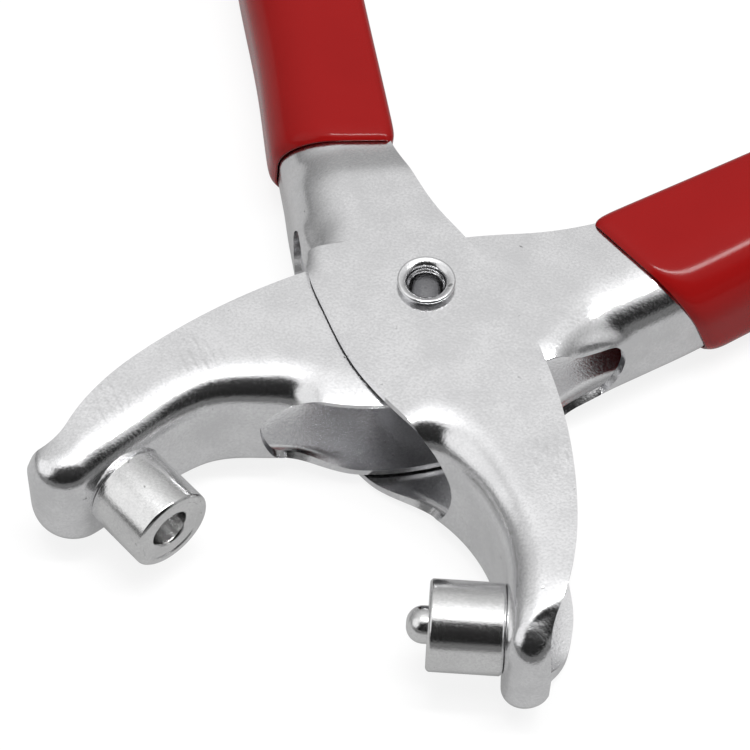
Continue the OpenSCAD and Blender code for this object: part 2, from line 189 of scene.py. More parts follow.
facing = add(tree, "VectorMath", {0: way, 1: toward}, operation="DOT_PRODUCT").outputs["Value"]
beside = add(tree, "VectorMath", {0: way, 1: turn @ Vector(WINDOW_WAY)}, operation="DOT_PRODUCT")
window = step_of(beside.outputs["Value"], 0.86, 0.95)
dark_side = step_of(facing, 0.23, 0.37, 1.0, 0.03)
low_wall = step_of(lift, 0.33, 0.26, 0.0, 0.55)
lit = reckon(tree, "MAXIMUM", reckon(tree, "MAXIMUM", dark_side, low_wall), window)
wall = blend_colours(tree, window, room.outputs[0], (WINDOW, WINDOW, WINDOW, 1))
sky = add(tree, "Background", {"Color": wall, "Strength": lit})
tree.links.new(sky.outputs[0], add(tree, "OutputWorld").inputs[0])
print("room of", len(ROOM), "steps of light")

# %% [markdown]
# Lamps
# A wide lamp overhead gives the red grips their even tone and the soft shadow, and a long narrow one draws
# the thin highlights on grips and bends. One lamp can't be both wide and narrow, so the wide one is hidden
# from mirrors and the strip alone shows in them.

# %% Hang the lamps
LAMP_Z = 0.9


def area_lamp(name, spot, shape, size, size_y, power):
    """A soft lamp that faces down, in metres and watts."""
    lamp = bpy.data.objects.new(name, bpy.data.lights.new(name, "AREA"))
    bpy.context.scene.collection.objects.link(lamp)
    lamp.data.shape, lamp.data.size, lamp.data.size_y, lamp.data.energy = shape, size, size_y, power
    lamp.location = spot
    return lamp


near_camera = toward * 0.12 + Vector((0, 0, LAMP_Z))
overhead = area_lamp("overhead", near_camera, "DISK", size=0.5, size_y=0.5, power=4.0)
overhead.rotation_euler = (-overhead.location).to_track_quat("-Z", "Y").to_euler()
overhead.visible_glossy = False
at_right = turn @ Vector((0.3, -0.03, LAMP_Z))
strip = area_lamp("strip", at_right, "RECTANGLE", size=0.90, size_y=0.08, power=6.5)
strip.rotation_euler = turn.to_euler()
bpy.context.scene.view_settings.view_transform = "Standard"
print("lamps", overhead.name, strip.name)

# %% [markdown]
# Grain of plated steel
# The levers are pressed from sheet and then plated, so their skin is bright but finely speckled, with faint
# clouds and a few pits. Each metal could have its own noises, but they are the same kind of skin. So one
# node group makes the speckle, and each finish takes as much of it as it shows.

# %% Make the shared grain
grain = bpy.data.node_groups.new("grain", "ShaderNodeTree")
grain.interface.new_socket("Scale", in_out="INPUT", socket_type="NodeSocketFloat").default_value = 1
for name in ("Speck", "Cloud", "Pit"):
    grain.interface.new_socket(name, in_out="OUTPUT", socket_type="NodeSocketFloat")
into, outward = grain.nodes.new("NodeGroupInput"), grain.nodes.new("NodeGroupOutput")
where = add(grain, "TexCoord").outputs["Object"]
spread = add(grain, "VectorMath", {0: where, "Scale": into.outputs["Scale"]}, operation="SCALE").outputs[0]
speck = add(grain, "TexNoise", {"Vector": spread, "Scale": 3200, "Detail": 3, "Roughness": 0.6})
cloud = add(grain, "TexNoise", {"Vector": spread, "Scale": 190, "Detail": 4, "Roughness": 0.55})
spots = add(grain, "TexNoise", {"Vector": spread, "Scale": 900, "Detail": 2, "Roughness": 0.5})
pit = add(grain, "MapRange", {"Value": spots.outputs["Fac"], "From Min": 0.735, "From Max": 0.79})
grain.links.new(speck.outputs["Fac"], outward.inputs["Speck"])
grain.links.new(cloud.outputs["Fac"], outward.inputs["Cloud"])
grain.links.new(pit.outputs[0], outward.inputs["Pit"])
print("grain group with", len(grain.nodes), "nodes")

# %% [markdown]
# Tool marks
# Where the jaws were dressed on a belt, short parallel ripples are left in the plating. They could be cut
# into the mesh, but they are only hundredths of a millimetre deep. So a second group makes a patch of wavy
# stripes round a place, torn by noise, and the metal takes it as height.

# %% Make the shared tool marks
CORE = 1.5 * MM
chatter = bpy.data.node_groups.new("chatter", "ShaderNodeTree")
for name in ("Place", "Across"):
    chatter.interface.new_socket(name, in_out="INPUT", socket_type="NodeSocketVector")
chatter.interface.new_socket("Reach", in_out="INPUT", socket_type="NodeSocketFloat").default_value = 4.3 * MM
chatter.interface.new_socket("Mark", in_out="OUTPUT", socket_type="NodeSocketFloat")
into, outward = chatter.nodes.new("NodeGroupInput"), chatter.nodes.new("NodeGroupOutput")
where = add(chatter, "TexCoord").outputs["Object"]
away = add(chatter, "VectorMath", {0: where, 1: into.outputs["Place"]}, operation="SUBTRACT").outputs[0]
far = add(chatter, "VectorMath", {0: away}, operation="LENGTH").outputs["Value"]
patch = add(chatter, "MapRange", {"Value": far, "From Min": into.outputs["Reach"], "From Max": CORE},
            interpolation_type="SMOOTHSTEP")
run = add(chatter, "VectorMath", {0: away, 1: into.outputs["Across"]}, operation="DOT_PRODUCT")
drift = add(chatter, "TexNoise", {"Vector": where, "Scale": 420, "Detail": 2})
phase = reckon(chatter, "MULTIPLY_ADD", drift.outputs["Fac"], 2.5, run.outputs["Value"])
wave = reckon(chatter, "SINE", phase)
ridge = add(chatter, "MapRange", {"Value": wave, "From Min": -0.3, "From Max": 1.0})
gaps = add(chatter, "TexNoise", {"Vector": where, "Scale": 700, "Detail": 1})
torn = add(chatter, "MapRange", {"Value": gaps.outputs["Fac"], "From Min": 0.3, "From Max": 0.6})
broken = reckon(chatter, "MULTIPLY", ridge.outputs[0], torn.outputs[0])
chatter.links.new(reckon(chatter, "MULTIPLY", broken, patch.outputs[0]), outward.inputs["Mark"])
print("tool mark group with", len(chatter.nodes), "nodes")

# %% [markdown]
# Metals
# The levers and the rivet are plated, the dies are ground steel and the spring is plain wire. They differ in
# tone and polish only, so one function builds all three from the grain, and the plated one also gets three
# patches of tool marks on the jaws.

# %% Finish the metals
MARK_DEPTH, PIT_TONE = 2.2, 0.45
# Each patch has its place in mm and its ripples' way in radians per mm, both turned with the camera.
JAW_MARKS = (((14.7, -23.3, 8.8), (5.6, 0, 0)), ((-25.3, -10.5, 7.5), (5.2, 2.4, 0)),
             ((-35.6, -17.1, 7.5), (5.2, 2.4, 0)))


def metal(name, pale, deep, rough, bump, scale=1, marks=()):
    """Bare or plated metal: colour between two greys, roughness range, and depth of its grain in mm."""
    material, tree, out = new_material(name)
    skin = add(tree, "Group", node_tree=grain)
    skin.inputs["Scale"].default_value = scale
    skin = skin.outputs
    mottle = reckon(tree, "MULTIPLY", skin["Cloud"], skin["Speck"])
    mask = add(tree, "MapRange", {"Value": mottle, "From Min": 0.16, "From Max": 0.36})
    tone = blend_colours(tree, mask.outputs[0], (*pale, 1), (*deep, 1))
    pitted = blend_colours(tree, skin["Pit"], tone, (*[PIT_TONE * c for c in deep], 1))
    dull = add(tree, "MapRange", {"Value": skin["Speck"], "From Min": 0.25, "From Max": 0.75,
                                  "To Min": rough[0], "To Max": rough[1]})
    height = reckon(tree, "SUBTRACT", skin["Speck"], skin["Pit"])
    for spot, across in marks:
        tool = add(tree, "Group", node_tree=chatter)
        tool.inputs["Place"].default_value = turn @ Vector(spot) * MM
        tool.inputs["Across"].default_value = turn @ Vector(across) / MM
        height = reckon(tree, "MULTIPLY_ADD", tool.outputs["Mark"], MARK_DEPTH, height)
    relief = add(tree, "Bump", {"Strength": 1, "Distance": bump * MM, "Height": height})
    shader = add(tree, "BsdfPrincipled", {"Base Color": pitted, "Roughness": dull.outputs[0],
                                          "Metallic": 1, "Normal": relief.outputs[0]})
    tree.links.new(shader.outputs[0], out.inputs[0])
    return material


plated = metal("plated_steel", (0.83, 0.83, 0.84), (0.97, 0.97, 0.98), rough=(0.12, 0.22), bump=0.016,
               marks=JAW_MARKS)
ground = metal("die_steel", (0.80, 0.80, 0.80), (0.93, 0.93, 0.93), rough=(0.12, 0.22), bump=0.016, scale=1.2)
wire_steel = metal("spring_steel", (0.46, 0.46, 0.48), (0.36, 0.36, 0.38), rough=(0.28, 0.4), bump=0.01)
print("metals", [m.name for m in (plated, ground, wire_steel)])

# %% [markdown]
# The levers' lines
# A lever is one strip of sheet, so two lines describe it: the web's line along its back and the cheeks' free
# edge. They could be traced as points, but a toolmaker sets out straights and arcs, which stay smooth at any
# size. Each line is a chain of these, in millimetres, drawn shut with the jaw at the right and the handle at
# the left of the centre line.

# %% Draw straights and arcs
OPEN, TILT = 44.3, 13


def polar(r, degrees):
    """The point at a radius and an angle."""
    return r * Vector((math.cos(math.radians(degrees)), math.sin(math.radians(degrees))))


def angle_of(v):
    """The angle of a vector in degrees."""
    return math.degrees(math.atan2(v.y, v.x))


def line(a, b):
    """A straight: its length, and a function from distance to point and direction."""
    d = (b - a).normalized()
    return (b - a).length, lambda s: (a + s * d, d)


def arc(c, r, a0, a1):
    """An arc in the same form, either way round."""
    way = 1 if a1 > a0 else -1
    return r * math.radians(abs(a1 - a0)), lambda s: (
        c + polar(r, a0 + way * math.degrees(s / r)), way * polar(1, a0 + way * math.degrees(s / r) + 90))


def length(path):
    """The length of a chain."""
    return sum(part[0] for part in path)


def walk(path, s):
    """Point and direction at a distance along a chain."""
    for size, place in path[:-1]:
        if s <= size:
            return place(s)
        s -= size
    return path[-1][1](s)


def where_zero(path, gap):
    """Distance along a chain at which gap(point) turns from below zero to above, by halving."""
    low, high = 0, length(path)
    for _ in range(40):
        mid = (low + high) / 2
        low, high = (mid, high) if gap(walk(path, mid)[0]) < 0 else (low, mid)
    return low


ALONG, ACROSS = polar(1, 90 + TILT), polar(1, 180 + TILT)


def handle(off, t):
    """The point at an offset from the handle's centre line, t along it."""
    return t * ALONG + off * ACROSS


print("handles run along", ALONG)

# %% [markdown]
# Two outlines from one recipe
# Both levers share the handle, the belly and the way the tip closes. They differ in where the die's seat
# lies, how far the jaw's back stands out and how long the tip is. Drawing each by hand would let them drift
# apart, so one function makes both pairs of lines from those few sizes.

# %% Chain each lever's lines
# The handle: its web's offset, its depth, its straight length, and the radius and length of its bow.
OFFSET, DEPTH, STRAIGHT, BOW, CURVED = 14.3, 12.7, 50, 170, 54
# Where the belly starts along the handle, and the radii of belly, neck and jaw.
BELLY_AT, BELLY, NECK, JAW = 7.4, 42, 40, 20
# The jaw's back: where it starts, how far down it is widest, its last radius, and where the nose leaves it.
SHOULDER, BACK_Y, BACK_END, LEAVE_ABOVE = Vector((2.2, 9.6)), 31.5, 30.7, 2.2
# How far down the dies sit, and how far their seats stand off the centre line.
REACH = 40
SEAT = {"outer": 10.9, "inner": 6.1}


def web_line(land, tip_c, tip_r, wrap):
    """The web's line, from the handle's end to the tip."""
    side, curve = 180 + TILT, math.degrees(CURVED / BOW)
    belly_c = handle(OFFSET - BELLY, BELLY_AT)
    dx = belly_c.x - land + JAW
    jaw_c = Vector((land - JAW, belly_c.y - math.sqrt((BELLY + JAW) ** 2 - dx * dx)))
    join = angle_of(belly_c - jaw_c)
    return [arc(handle(OFFSET - BOW, STRAIGHT), BOW, side - curve, side),
            line(handle(OFFSET, STRAIGHT), handle(OFFSET, BELLY_AT)),
            arc(belly_c, BELLY, side, join + 180), arc(jaw_c, JAW, join, 0),
            line(Vector((land, jaw_c.y)), Vector((land, tip_c.y))), arc(tip_c, tip_r, 180, 180 + wrap)]


def free_edge(back, tip_c, tip_r, wrap):
    """The cheeks' free edge, from the handle's end to where it meets the web's line at the tip."""
    side, curve = 180 + TILT, math.degrees(CURVED / BOW)
    dx, dy = back - SHOULDER.x, SHOULDER.y + BACK_Y
    back_r = (dx * dx + dy * dy) / (2 * dx)
    back_c, end_c = Vector((back - back_r, -BACK_Y)), Vector((back - BACK_END, -BACK_Y))
    off = OFFSET - DEPTH - NECK
    top = back_c @ ALONG + math.sqrt((back_r + NECK) ** 2 - (back_c @ ACROSS - off) ** 2)
    neck_c = handle(off, top)
    neck = angle_of(neck_c - back_c)
    turn_in = math.degrees(math.asin((tip_c.y + LEAVE_ABOVE + BACK_Y) / BACK_END))
    leave, last = end_c + polar(BACK_END, turn_in), tip_c + polar(tip_r, wrap - 180)
    across = polar(1, turn_in)
    bow_r = (last - leave).length_squared / (2 * (last - leave) @ across)
    nose_c = leave + bow_r * across
    return [arc(handle(OFFSET - BOW, STRAIGHT), BOW - DEPTH, side - curve, side),
            line(handle(OFFSET - DEPTH, STRAIGHT), handle(OFFSET - DEPTH, top)),
            arc(neck_c, NECK, side, neck + 180), arc(back_c, back_r, neck, 0),
            arc(end_c, BACK_END, 0, turn_in),
            arc(nose_c, bow_r, turn_in + 180, angle_of(last - nose_c) % 360)]


def outlines(land, back, tip, tip_r, wrap):
    """Both lines of a lever, whose die sits at x = land and whose tip reaches down to y = -tip."""
    tip_c = Vector((land + tip_r, tip_r - tip))
    return web_line(land, tip_c, tip_r, wrap), free_edge(back, tip_c, tip_r, wrap)


levers = {"outer": outlines(SEAT["outer"], back=18, tip=REACH + 7.5, tip_r=3.3, wrap=124),
          "inner": outlines(SEAT["inner"], back=15, tip=REACH + 9.1, tip_r=4.5, wrap=130)}
print({name: [round(length(path), 1) for path in pair] for name, pair in levers.items()})

# %% [markdown]
# Rows along a lever
# The sheet will be a grid whose rows cross the lever, and each row needs a place on the web's line and one
# on the free edge. Even spacing would let rows slant across the slot and the seat. So the landmarks on both
# lines are tied to each other first, and rows are spread evenly between them.

# %% Tie the lines and spread the rows
# Rows between each landmark and the next.
ROWS = (16, 8, 18, 6, 30, 22, 8, 22)
# A place under the grip, and the length over which the nose closes.
UNDER_GRIP, NOSE_LEN = 30, 9.6
# How far above its end the tip is tied, and how far the last row stops short of it.
TIP_RISE, SHORT = 5.2, 0.35
# Half the channel's width, how far up the handle the slot reaches, and how much narrower it is on each side.
WIDE = {"outer": 8.8, "inner": 7.5}
SLOT_AT = {"outer": 15, "inner": 18.4}
SLOT_CUT = 1.96
# The slot's seam on the jaw, past the belly's end.
SEAM_PAST = {"outer": 0, "inner": 2.6}


def stations(web, free, slot_t, seam_past):
    """Distances on the web's line and on the free edge that face each other: at the handle's end, the bow's
    end, a place under the grip, the slot's start, the belly, the seam, the land, the tip and its end."""
    sums = [sum(part[0] for part in web[:i]) for i in range(len(web) + 1)]
    tied = [(0, 0), (sums[1], free[0][0])]
    for t in (UNDER_GRIP, slot_t, BELLY_AT):
        tied.append((sums[1] + STRAIGHT - t, where_zero(free, lambda p: t - p @ ALONG)))
    seam, heading = walk(web, sums[3] + seam_past)
    tied.append((sums[3] + seam_past, where_zero(free, lambda p: (p - seam) @ heading)))
    end_y = walk(free, length(free))[0].y
    for place, y in ((sums[4], walk(web, sums[4])[0].y), (sums[5], end_y + TIP_RISE)):
        tied.append((place, where_zero(free, lambda p: y - p.y)))
    tied.append((sums[6], length(free) - SHORT))
    return tied


def set_out(name):
    """One lever's lines, the rows of its grid and its landmarks along the web."""
    web, free = levers[name]
    tied = stations(web, free, SLOT_AT[name] - WIDE[name] + SLOT_CUT, SEAM_PAST[name])
    rows = [tied[0]]
    for (a, b), (c, d), n in zip(tied, tied[1:], ROWS):
        rows += [(a + (c - a) * k / n, b + (d - b) * k / n) for k in range(1, n + 1)]
    nose = where_zero(free, lambda p: walk(free, length(free))[0].y + NOSE_LEN - p.y)
    start, belly, seam, _, tip, end = tied[3:]
    return SimpleNamespace(name=name, web=web, free=free, rows=rows, wide=WIDE[name], start=start[0],
                           belly=belly[0], seam=seam[0], tip=tip[0], end=end[0], nose=nose, last=end[1])


set_levers = {name: set_out(name) for name in levers}
print("rows", {name: len(lever.rows) for name, lever in set_levers.items()})

# %% [markdown]
# How the press shapes a lever
# A pressed sheet is never as exact as its drawing: the handles lean a little, the bends are rounder on the
# side that the punch struck, the outer channel steps out at a joggle and the tips close like a bow. These
# could be sculpted afterwards, but as functions of the place along the lever they stay smooth everywhere. In
# them s is a distance along the web's line, e one along the free edge and t a place along the handle.

# %% Give each place its width, bend and lean
# Half widths: under the grips, and at the nose's end.
NARROW = WIDE["inner"]
NOSE, NOSE_POWER = {"outer": 4.2, "inner": 5.6}, 2.2
JOGGLE_FROM, JOGGLE_LEN = 22.7, 4.7
# Bend radii: beside the slot, at the tip, on the handle, and on the front at the seam and the land.
TIGHT, TIP_BEND = 2.8, 3
HANDLE_R = {"front": 7, "rear": 4}
BEND_R = {"outer": (5.2, 3.8), "inner": (5.0, 4.4)}
# How far the web sags beside the slot's seam.
SAG = {"outer": 0, "inner": 1.2}
# The lean: how far it goes, and between which places along the handle.
OUTER_LEANS, OUTER_EDGE = ((0.8, -12, 0), (0.3, 2, 14), (0.5, 28, 44)), (0.8, 8, 18)
INNER_LEAN, INNER_BACK, LEAN_ENDS = (4, 14), (0.5, 26, 40), (46, 85)


def ease(a, b, x):
    """Smooth step from 0 at a to 1 at b."""
    x = min(1, max(0, (x - a) / (b - a)))
    return x * x * (3 - 2 * x)


def leaning(name, t):
    """How far a real handle's web and free edge stand off the drawn lines, at t along the handle."""
    fade = 1 - ease(*LEAN_ENDS, t)
    if name == "outer":
        inward = sum(far * ease(a, b, t) for far, a, b in OUTER_LEANS)
        return -fade * inward, fade * OUTER_EDGE[0] * ease(*OUTER_EDGE[1:], t)
    return fade * ease(*INNER_LEAN, t) * (1 - INNER_BACK[0] * ease(*INNER_BACK[1:], t)), 0


def height(lever, s, e):
    """Half the channel's width, which steps out at the joggle and closes at the nose."""
    if s < lever.belly:
        t = walk(lever.web, s)[0] @ ALONG
        return NARROW + (lever.wide - NARROW) * min(1, max(0, (JOGGLE_FROM - t) / JOGGLE_LEN))
    closed = max(0, (e - lever.nose) / (lever.last - lever.nose)) ** NOSE_POWER
    return lever.wide - (lever.wide - NOSE[lever.name]) * closed


def bend(lever, s, way):
    """Bend radius, larger on the front, where the press struck, than on the rear."""
    on_handle, at_seam, on_land = HANDLE_R["rear"], TIGHT, TIGHT
    if way > 0:
        on_handle, (at_seam, on_land) = HANDLE_R["front"], BEND_R[lever.name]
    if s < lever.belly:
        return TIGHT + (on_handle - TIGHT) * ease(lever.start + 5, lever.start - 4, s)
    r = TIGHT + (at_seam - TIGHT) * ease(lever.belly, lever.seam, s)
    r += (on_land - at_seam) * ease(lever.seam, lever.seam + 10, s)
    return r + (TIP_BEND - on_land) * ease(lever.tip - 2, lever.end, s)


def on_web(lever, s):
    """Point on the leaning, sagging web's line, and the way into the channel."""
    point, heading = walk(lever.web, s)
    inward = Vector((-heading.y, heading.x))
    sag = SAG[lever.name] * ease(lever.belly - 4, lever.seam - 6, s)
    sag *= ease(lever.seam + 10, lever.seam + 1, s)
    return point + leaning(lever.name, point @ ALONG)[0] * ACROSS - sag * inward, inward


slot_bends = {name: [bend(lever, lever.seam, way) for way in (1, -1)] for name, lever in set_levers.items()}
print("bends at the slots, front and rear", slot_bends)

# %% [markdown]
# The section across a lever
# Across, a lever is a flat cheek, a round bend and half the web, and the same again on the other side. An
# even spread of columns would leave too few on the bend, where the bands of light are. So each part has its
# own number of columns, which stays the same in every row.

# %% Divide the section into columns
CHEEK_COLS, BEND_COLS, TURN_COLS, WEB_COLS = 8, 8, 4, 10
# Where the flat is shallower than this, the cheek's columns take this share of the bend too.
SHALLOW, BEND_SHARE = 6, 0.4


def columns(flat, r, h, last):
    """Half a section from the free edge to the middle: the part, its place on the flat, depth and height."""
    first = math.asin(min(1, max(0, -flat / r)))
    flat = max(0, flat)
    round_len = r * (last - first)
    split = flat + BEND_SHARE * round_len * ease(SHALLOW, 0, flat)
    runs = [split * k / CHEEK_COLS for k in range(CHEEK_COLS + 1)]
    runs += [split + (flat + round_len - split) * k / BEND_COLS for k in range(1, BEND_COLS + 1)]
    made = []
    for k, run in enumerate(runs):
        a = first + max(0, run - flat) / r
        part = "flat" if run < flat else ("bend" if k > CHEEK_COLS else "edge")
        made.append((part, run / flat if run < flat else 1, r * (1 - math.sin(a)), h - r * (1 - math.cos(a))))
    for k in range(1, TURN_COLS + 1):
        a = last + (math.pi / 2 - last) * k / TURN_COLS
        made.append(("web", 1, r * (1 - math.sin(a)), h - r * (1 - math.cos(a))))
    half = WEB_COLS // 2
    return made + [("web", 1, 0, (h - r) * (1 - k / half)) for k in range(1, half + 1)]


SIDE_COLS = len(columns(1, 1, 1, 1))
print("columns on a side", SIDE_COLS)

# %% [markdown]
# One row of the sheet
# The slot through which the other lever passes is cut in the web before folding, so beside it the bend lies
# open and flat, and the slot's ends are round. These could be cut out of a finished channel, but its lips
# would then be too sharp. So every row is worked out with the slot in mind, from the free edge inwards,
# because the cheek's edge is what shows most.

# %% Work out half a row
# How far round the bend the slot is cut, and on the rear beside its seam.
CUT, REAR_CUT = math.radians(72.5), math.radians(42)
# How far the slot's round end bites into the jaw's web, its power, and the length that takes it up.
BITE, BITE_POWER, ROUND_OFF = {"outer": 3.0, "inner": 3.1}, 0.8, 14
# The slot's lips, front and rear: how far they swell outwards and drop inwards.
SWELL = {"outer": (-0.6, 0.9), "inner": (0.6, 0.3)}
DROP = {"outer": (0, 0), "inner": (0.6, 0)}
# How far the rear edge flares by the tip.
FLARE = {"outer": 1.1, "inner": 1.4}


def slot_shift(lever, s, part, z, half):
    """How far a column slides along the web, so that the slot's ends are round."""
    if s <= lever.start and part != "flat":
        bore = lever.wide - SLOT_CUT
        bite = math.sqrt(max(0, 1 - (z / bore) ** 2))
        return -bore * bite * max(0, 1 - (lever.start - s) / ROUND_OFF)
    if s >= lever.seam and part == "web":
        bite = max(0, 1 - (z / half) ** 2) ** BITE_POWER
        return BITE[lever.name] * bite * max(0, 1 - (s - lever.seam) / ROUND_OFF)
    return 0


def half_row(lever, s, e, way):
    """Points from the free edge to the web's middle, on the front (way is 1) or the rear (way is -1)."""
    name, start, belly, seam, tip = lever.name, lever.start, lever.belly, lever.seam, lever.tip
    front = way > 0
    swell, drop = SWELL[name][not front], DROP[name][not front]
    rim = walk(lever.free, e)[0]
    rim = rim - leaning(name, rim @ ALONG)[1] * ACROSS
    h, r = height(lever, s, e), bend(lever, s, way)
    lean = ease(tip - 4, tip + 1, s)
    point, inward = on_web(lever, s)
    inward = inward.lerp((rim - point).normalized(), lean).normalized()
    flare = 0 if front else ease(tip - 14, tip - 8, s) * ease(lever.end - 2, tip - 7, s)
    edge = rim + FLARE[name] * flare * inward
    near = 0 if front else ease(belly, seam, s) * ease(seam + 14, seam, s)
    cut = CUT + (REAR_CUT - CUT) * near
    opened = ease(seam + 1, seam - 4.5, s) if front else ease(seam + 0.5, seam - 9, s)
    opened *= ease(start, start + 5, s)
    bulge = math.sin(math.pi * min(1, max(0, (s - belly) / (seam - belly))))
    half = h - r * (1 - math.cos(cut))
    points = []
    for k, (part, share, deep, z) in enumerate(columns((edge - point) @ inward - r, r, h, cut)):
        root, normal, here = point, inward, s + slot_shift(lever, s, part, z, half)
        if here != s:
            root, normal = on_web(lever, here)
            normal = normal.lerp((edge - root).normalized(), lean).normalized()
        spot, lift = root + deep * normal, z
        if part == "flat":
            spot = edge.lerp(root + r * normal, share)
        elif part == "bend":
            turned_in = (k - CHEEK_COLS) / BEND_COLS
            spread = r - (r + swell * bulge) * turned_in
            spot = root + (deep + (spread - deep) * opened) * normal
            lift = z + (h - drop * turned_in ** 2 - z) * opened
        points.append((*spot, way * lift))
    return points


print("the slots' round ends bite", BITE)

# %% [markdown]
# Folding the sheet
# The real lever is blanked flat and folded in a press. A channel could also be extruded and cut, but then
# the curved jaw and the closing tip would need many cuts. A flat grid is folded instead, row by row, as the
# press does it, and the slot's faces are taken out.

# %% Fold a grid into a lever
# A row on the handle, where the web has to face outwards.
PROBE_ROW = 8


def press_lever(lever):
    """The folded sheet of one lever, in millimetres and in the shut place."""
    span = 2 * SIDE_COLS - 1
    bm = bmesh.new()
    bmesh.ops.create_grid(bm, x_segments=span - 1, y_segments=len(lever.rows) - 1, size=1, calc_uvs=True)
    bm.verts.ensure_lookup_table()
    for i, (s, e) in enumerate(lever.rows):
        for way in (1, -1):
            for k, point in enumerate(half_row(lever, s, e, way)):
                bm.verts[i * span + (k if way > 0 else span - 1 - k)].co = point
    # The slot takes up the rows from its start to its seam, and the columns between the two bends.
    first, last = sum(ROWS[:3]), sum(ROWS[:5])
    low, high = CHEEK_COLS + BEND_COLS, span - 1 - CHEEK_COLS - BEND_COLS
    gone = [f for f in bm.faces
            if all(first <= v.index // span <= last and low <= v.index % span <= high for v in f.verts)]
    bm.normal_update()
    if bm.verts[PROBE_ROW * span + SIDE_COLS - 1].normal @ ACROSS.to_3d() < 0:
        bmesh.ops.reverse_faces(bm, faces=bm.faces)
    bmesh.ops.delete(bm, geom=gone, context="FACES")
    return bm


sheets = {name: press_lever(lever) for name, lever in set_levers.items()}
print({name: (len(bm.verts), len(bm.faces)) for name, bm in sheets.items()})

# %% [markdown]
# From a mesh to a piece
# Every piece ends the same way: it is turned to where it stands open, gets its material and is tied to the
# body that it moves with. Moving the object would be quicker than moving the mesh, but the finish follows
# the object's own axes, so each mesh is put in its place and the object stays at the origin.

# %% Place, name and tie a piece
def place(name):
    """From the shut place, in millimetres, to the open place, in metres."""
    if name == "outer":
        return Matrix.Rotation(math.radians(OPEN / 2), 4, "Z") @ Matrix.Scale(MM, 4)
    flipped = Matrix.Scale(MM, 4) @ Matrix.Scale(-1, 4, (1, 0, 0))
    return Matrix.Rotation(math.radians(-OPEN / 2), 4, "Z") @ flipped


def new_piece(name, bm, material, body, *nodes):
    """Turns a bmesh into a piece that rides on a body and stands for construction nodes."""
    mesh = bpy.data.meshes.new(name)
    bm.to_mesh(mesh)
    bm.free()
    mesh.materials.append(material)
    piece = bpy.data.objects.new(name, mesh)
    bpy.context.scene.collection.objects.link(piece)
    mesh.shade_smooth()
    if nodes:
        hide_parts(*nodes)
    if body:
        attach(piece, body)
    return piece


print("open by", OPEN, "degrees")

# %% [markdown]
# Finishing the levers
# The folded grid has no thickness yet. Solidify gives it the sheet's, a bevel breaks the cut edges and one
# level of subdivision smooths the bends. The pivot hole could be left in the grid, but it would pull the
# rows out of line, so it is drilled last, as in the press shop.

# %% Thicken, soften and drill
SHEET, BROKEN_EDGE = 0.9, 0.18
HOLE = {"outer": 2.92, "inner": 2.95}


def bake(piece):
    """Applies a piece's modifiers."""
    shape = piece.evaluated_get(bpy.context.evaluated_depsgraph_get())
    baked = bpy.data.meshes.new_from_object(shape)
    piece.modifiers.clear()
    piece.data = baked


def drill(piece, radius):
    """Cuts a round hole along the pivot axis."""
    bm = bmesh.new()
    size = radius * MM
    bmesh.ops.create_cone(bm, cap_ends=True, segments=96, radius1=size, radius2=size, depth=60 * MM)
    mesh = bpy.data.meshes.new("drill")
    bm.to_mesh(mesh)
    bm.free()
    bit = bpy.data.objects.new("drill", mesh)
    bpy.context.scene.collection.objects.link(bit)
    cut = piece.modifiers.new("hole", "BOOLEAN")
    cut.operation, cut.solver, cut.object = "DIFFERENCE", "EXACT", bit
    bake(piece)
    bpy.data.objects.remove(bit)


def finish_lever(name):
    """A lever's sheet with thickness, broken edges and its pivot hole."""
    bm = sheets[name]
    bmesh.ops.transform(bm, matrix=place(name), verts=bm.verts)
    if name == "inner":
        bmesh.ops.reverse_faces(bm, faces=bm.faces)
    piece = new_piece(name + "_lever_sheet", bm, plated, None)
    thick = piece.modifiers.new("thickness", "SOLIDIFY")
    thick.thickness, thick.offset, thick.use_even_offset = SHEET * MM, -1, True
    soft = piece.modifiers.new("edges", "BEVEL")
    soft.width, soft.segments = BROKEN_EDGE * MM, 2
    soft.limit_method, soft.angle_limit = "ANGLE", math.radians(50)
    smooth = piece.modifiers.new("smooth", "SUBSURF")
    smooth.levels = smooth.render_levels = 1
    bake(piece)
    drill(piece, HOLE[name])
    piece.data.set_sharp_from_angle(angle=math.radians(40))
    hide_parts(name + "_lever")
    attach(piece, name)
    return piece


finished = [finish_lever(name) for name in levers]
print("lever faces", [len(piece.data.polygons) for piece in finished])

# %% [markdown]
# Rivet
# The pivot is a tubular rivet whose ends are flared and rolled over the cheeks. A torus on a cylinder would
# look near, but the real rim is a shallow funnel with a small step inside. Half a section, spun round the
# axis as on a lathe, gives rim, step and bore in one go.

# %% Spin the rivet
def turned(profile, soft, steps=96, bevels=3):
    """Spins a chain of radius and height pairs round Z and softens its sharp edges."""
    bm = bmesh.new()
    rim = [bm.verts.new((r, 0, z)) for r, z in profile]
    rim += [bm.edges.new(pair) for pair in zip(rim, rim[1:])]
    bmesh.ops.spin(bm, geom=rim, cent=(0, 0, 0), axis=(0, 0, 1), angle=2 * math.pi, steps=steps,
                   use_merge=True)
    bmesh.ops.remove_doubles(bm, verts=bm.verts, dist=1e-4)
    bmesh.ops.recalc_face_normals(bm, faces=bm.faces)
    if soft:
        sharp = [e for e in bm.edges if len(e.link_faces) == 2 and e.calc_face_angle() > math.radians(25)]
        bmesh.ops.bevel(bm, geom=sharp, offset=soft, offset_type="OFFSET", segments=bevels, profile=0.5,
                        affect="EDGES", material=-1, clamp_overlap=True)
    return bm


def rolled(r, z, size, a0, a1, n):
    """Points round a rolled edge."""
    turns = [math.radians(a0 + (a1 - a0) * k / n) for k in range(n + 1)]
    return [(r + size * math.cos(a), z + size * math.sin(a)) for a in turns]


